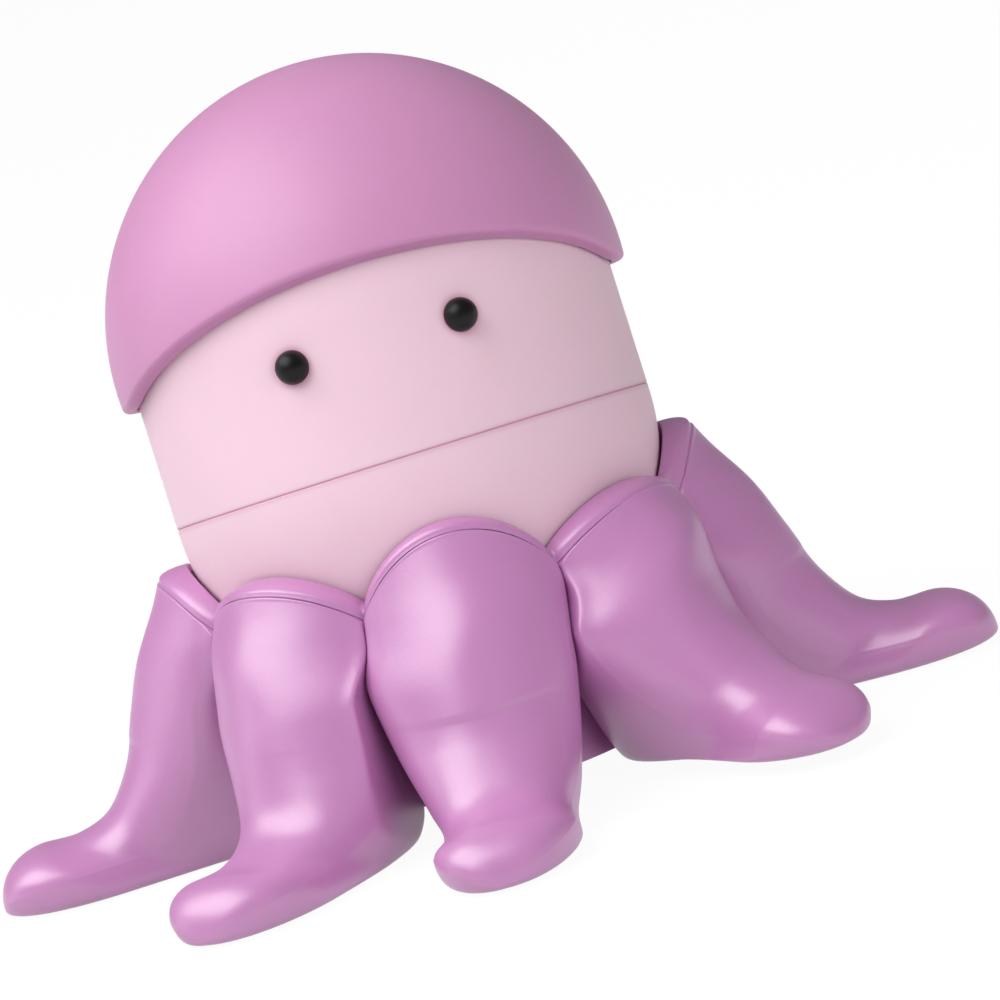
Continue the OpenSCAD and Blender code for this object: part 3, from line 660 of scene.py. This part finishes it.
neck_angle = -np.degrees(np.arccos(NECK_HOLE / HEAD_R))
neck_angle_in = -np.degrees(np.arccos(NECK_HOLE / FACE_IN))
spigot_in = SPIGOT_R - SPIGOT_WALL
jaw_profile = np.vstack([
    arc((0, 0), HEAD_R, neck_angle, 0, 70),
    arc((HEAD_R - SEAM_EDGE, FACE_LOW - SEAM_EDGE), SEAM_EDGE, 0, 90, 8),
    run((HEAD_R - SEAM_EDGE, FACE_LOW), (SPIGOT_R, FACE_LOW), 3),
    run((SPIGOT_R, FACE_LOW), (SPIGOT_R, SPIGOT_TOP), 3),
    run((SPIGOT_R - SPIGOT_EDGE, SPIGOT_TOP), (spigot_in + SPIGOT_EDGE, SPIGOT_TOP), 2),
    run((spigot_in, SPIGOT_TOP), (spigot_in, 0), 3),
    arc((0, 0), FACE_IN, 0, neck_angle_in, 30),
])
jaw_turn = np.linspace(0, 2 * np.pi, 256, endpoint=False)
jaw = mesh_piece("jaw_ball", in_head(lathe(jaw_profile, jaw_turn)), ring=True)
paint_shade(jaw)
dress(jaw, "head", "jaw_bowl", face_finish)

# %% [markdown]
# ## The cap
# The cap is a dome that overhangs the head all round, level behind and raised like a fringe over the
# face. Each column of its grid runs from the top down the outside, round the rim and up the inside.
# The rim's height depends on how far forward the column is, so it is found by substitution.

# %% Dome with a raised brow
CAP_R = 26.3
CAP_IN = HEAD_R + 0.2
RIM_DROP = 2.3
BROW_Y = 6.0
BROW_SLOPE = np.tan(np.radians(20.5))
BROW_BLEND = 3.0
RIM_EDGE = 0.6
LIP_EDGE = 0.4 * RIM_EDGE
PEG_R = 3.0
PEG_END = CAP_IN - 4
RIM_ROUNDS = 10


def brow(y):
    """Height of the rim at a distance in front: level, then a slope, joined by a hyperbola."""
    rise = y - BROW_Y
    return -RIM_DROP + BROW_SLOPE * (rise + np.sqrt(rise**2 + BROW_BLEND**2)) / 2


def cap_wall(z, radius):
    """Radius of a dome at height z, with a straight skirt on the inside below its centre."""
    dome = np.sqrt(np.maximum(0, radius**2 - z**2))
    return np.where((z < 0) & (radius < CAP_R), radius, dome)


def rim_height(turn, radius):
    """Height of the rim at each angle on the outer or the inner wall, by repeated substitution."""
    z = np.zeros_like(turn)
    for _ in range(RIM_ROUNDS):
        z = brow(np.cos(turn) * cap_wall(z, radius))
    return z


def cap_points(columns):
    """Grid of the cap: down the outside, round the rim's two edges, and up the inside to the peg."""
    turn = np.linspace(0, 2 * np.pi, columns, endpoint=False)
    outer_low = rim_height(turn, CAP_R) + RIM_EDGE
    inner_low = rim_height(turn, CAP_IN) + LIP_EDGE
    fall = np.linspace(1, 0, 90)[1:, None]
    angle = np.arcsin(outer_low / CAP_R)
    out_z = CAP_R * np.sin(angle + (np.pi / 2 - angle) * fall)
    out_r = cap_wall(out_z, CAP_R)
    roll = np.linspace(0, np.pi / 2, 9)[1:, None]
    rim_r = out_r[-1] - RIM_EDGE * (1 - np.cos(roll))
    rim_z = outer_low - RIM_EDGE * np.sin(roll)
    inner_r = cap_wall(inner_low, CAP_IN)
    lip_r = inner_r + LIP_EDGE * (1 - np.cos(roll[::-1]))
    lip_z = inner_low - LIP_EDGE * np.sin(roll[::-1])
    rise = np.linspace(0, 1, 30)[:, None]
    low_angle = np.arcsin(inner_low / CAP_IN)
    high_angle = np.arccos(PEG_R / CAP_IN)
    in_z = CAP_IN * np.sin(low_angle + (high_angle - low_angle) * rise)
    in_r = cap_wall(in_z, CAP_IN)
    r = np.vstack([out_r, rim_r, lip_r, in_r, np.full((1, columns), PEG_R)])
    z = np.vstack([out_z, rim_z, lip_z, in_z, np.full((1, columns), PEG_END)])
    return np.stack([r * np.sin(turn), -r * np.cos(turn), z + DOME_Z], axis=-1)


cap_grid = in_head(cap_points(320))
cap_poles = in_head(np.array([[0, 0, DOME_Z + CAP_R], [0, 0, DOME_Z + PEG_END]]))
dress(mesh_piece("domed_cap", cap_grid, poles=cap_poles), "head", "cap", cap_finish)

# %% [markdown]
# ## The eyes
# Each eye is a glossy bead on a stem, pressed into the face so that about half of it stands out. A
# turned profile gives the bead and its stem in one closed surface.

# %% Beads on stems
STEM_R = 0.7
STEM_L = 3.6
STEM_TOP = 0.9 * EYE_D / 2
BEAD_ARC = (87, -64)


def eye_points(side):
    """Bead and stem turned about the line from the head's axis through the eye."""
    profile = np.vstack([
        arc((0, 0), EYE_D / 2, *BEAD_ARC, 40),
        run((STEM_R, -STEM_TOP), (STEM_R, -STEM_L), 4),
    ])
    turn = np.linspace(0, 2 * np.pi, 64, endpoint=False)
    r, out = profile[:, 0][:, None], profile[:, 1][:, None]
    forward = eye_centre(side) * np.array([1, 1, 0]) / HEAD_R
    across = np.array([-forward[1], forward[0], 0])
    up = np.array([0, 0, 1.0])
    centre = eye_centre(side) + np.array([0, -EYE_PROUD, 0])
    rim = r[..., None] * (np.cos(turn)[:, None] * across + np.sin(turn)[:, None] * up)
    ends = [centre + forward * EYE_D / 2, centre - forward * STEM_L]
    return in_head(centre + rim + out[..., None] * forward), in_head(np.array(ends))


for side, node in ((-1, "left_eye"), (1, "right_eye")):
    rows, ends = eye_points(side)
    dress(mesh_piece(node + "_bead", rows, poles=ends), "head", node, eye_finish)

# %% [markdown]
# ## Pieces that stay as solids
# The hub, its plug and the neck's hardware are turned or drilled pieces whose solids are already the
# right shape. They keep their meshes and only get a finish.

# %% Finishes of the solids that stay
STAYING = {
    "hub": leg_finish, "base_plug": leg_finish, "ball_washer": washer_finish, "neck_bolt": steel_finish,
    "flat_washer": steel_finish, "neck_spring": steel_finish, "lock_nut": steel_finish,
}
for node, finish in STAYING.items():
    solid = frame["nodes"][node].data
    solid.materials.clear()
    solid.materials.append(finish)
print("solids kept:", list(STAYING))

# %% [markdown]
# ## Floor, light and camera
# The toy stands on a pale floor under a large soft light from the upper left. A small light from the
# left shapes the legs' edges, and a fill from the right opens the shadows without being mirrored in the
# vinyl. The floor shows the camera mostly white and still catches a soft shadow. The camera is far away
# with a long lens, a little above the toy, and rolled, because the picture shows the toy on a slant.

# %% Floor and world
FLOOR_GREY = 0.65
FLOOR_WHITE = 1.05
WHITE_SHARE = 0.9
FLOOR_HALF = 20.0
WORLD_LIGHT = 0.24


def seen(nodes, links):
    """Value of 1 for a ray from the camera, or one that a surface mirrors or lets through."""
    path = nodes.new("ShaderNodeLightPath")
    value = path.outputs["Is Camera Ray"]
    for name in ("Is Glossy Ray", "Is Transmission Ray"):
        larger = nodes.new("ShaderNodeMath")
        larger.operation = "MAXIMUM"
        links.new(value, larger.inputs[0])
        links.new(path.outputs[name], larger.inputs[1])
        value = larger.outputs["Value"]
    return value


def floor_finish():
    """White floor: diffuse for the light it returns, and mostly plain white where the camera sees it,
    straight or in a reflection."""
    material = bpy.data.materials.new("pale_floor")
    material.use_nodes = True
    nodes = material.node_tree.nodes
    links = material.node_tree.links
    nodes.remove(nodes["Principled BSDF"])
    diffuse = nodes.new("ShaderNodeBsdfDiffuse")
    diffuse.inputs["Color"].default_value = (FLOOR_GREY, FLOOR_GREY, FLOOR_GREY, 1)
    white = nodes.new("ShaderNodeEmission")
    white.inputs["Strength"].default_value = FLOOR_WHITE
    share = nodes.new("ShaderNodeMath")
    share.operation = "MULTIPLY"
    share.inputs[1].default_value = WHITE_SHARE
    mix = nodes.new("ShaderNodeMixShader")
    links.new(seen(nodes, links), share.inputs[0])
    links.new(share.outputs["Value"], mix.inputs["Fac"])
    links.new(diffuse.outputs["BSDF"], mix.inputs[1])
    links.new(white.outputs["Emission"], mix.inputs[2])
    links.new(mix.outputs["Shader"], nodes["Material Output"].inputs["Surface"])
    return material


floor_mesh = bpy.data.meshes.new("floor")
floor_corners = np.array([[-1, -1], [1, -1], [1, 1], [-1, 1]]) * FLOOR_HALF
floor_mesh.from_pydata([(x, y, 0) for x, y in floor_corners], [], [(0, 1, 2, 3)])
floor = bpy.data.objects.new("floor", floor_mesh)
floor_mesh.materials.append(floor_finish())
bpy.context.scene.collection.objects.link(floor)

world = bpy.data.worlds.new("studio")
bpy.context.scene.world = world
world.use_nodes = True
backdrop = world.node_tree.nodes["Background"]
backdrop.inputs["Color"].default_value = (1, 1, 1, 1)
backdrop.inputs["Strength"].default_value = WORLD_LIGHT

# %% Lights
TARGET = np.array([0, 0, 0.03])


def softbox(name, place, size, power):
    """Rectangular area light at a place in metres, turned to face the toy's middle, in watts."""
    lamp = bpy.data.lights.new(name, "AREA")
    lamp.shape = "RECTANGLE"
    lamp.size, lamp.size_y = size
    lamp.energy = power
    light = bpy.data.objects.new(name, lamp)
    bpy.context.scene.collection.objects.link(light)
    light.location = place
    light.rotation_euler = Vector(TARGET - np.array(place)).to_track_quat("-Z", "Y").to_euler()
    return light


softbox("key", (-0.34, -0.12, 0.54), (0.8, 0.55), 5.1)
softbox("side", (-0.9, 0.12, 0.2), (0.5, 0.4), 0.6)
fill = softbox("fill", (0.45, -0.75, 0.3), (0.6, 0.6), 3.2)
fill.visible_glossy = False

# %% Camera
LENS = 324
DISTANCE = 900
ELEVATION = np.radians(11)
ROLL = np.radians(15.9)
AIM_RIGHT = 8.57
AIM_DOWN = 3.80

level_right = np.array([1.0, 0, 0])
level_up = np.array([0, np.sin(ELEVATION), np.cos(ELEVATION)])
backward = np.array([0, -np.cos(ELEVATION), np.sin(ELEVATION)])
right = np.cos(ROLL) * level_right - np.sin(ROLL) * level_up
up = np.sin(ROLL) * level_right + np.cos(ROLL) * level_up
place = np.array([0, 0, BALL_Z]) + AIM_RIGHT * right - AIM_DOWN * up + DISTANCE * backward
camera_data = bpy.data.cameras.new("camera")
camera_data.lens = LENS
camera_data.sensor_width = 36
camera_data.clip_end = 20
camera = bpy.data.objects.new("camera", camera_data)
bpy.context.scene.collection.objects.link(camera)
camera.matrix_world = Matrix((
    (right[0], up[0], backward[0], place[0] * MM),
    (right[1], up[1], backward[1], place[1] * MM),
    (right[2], up[2], backward[2], place[2] * MM),
    (0, 0, 0, 1),
))
bpy.context.scene.camera = camera
bpy.context.scene.view_settings.view_transform = "Standard"
print("camera at", [round(v * MM, 3) for v in place], "metres")
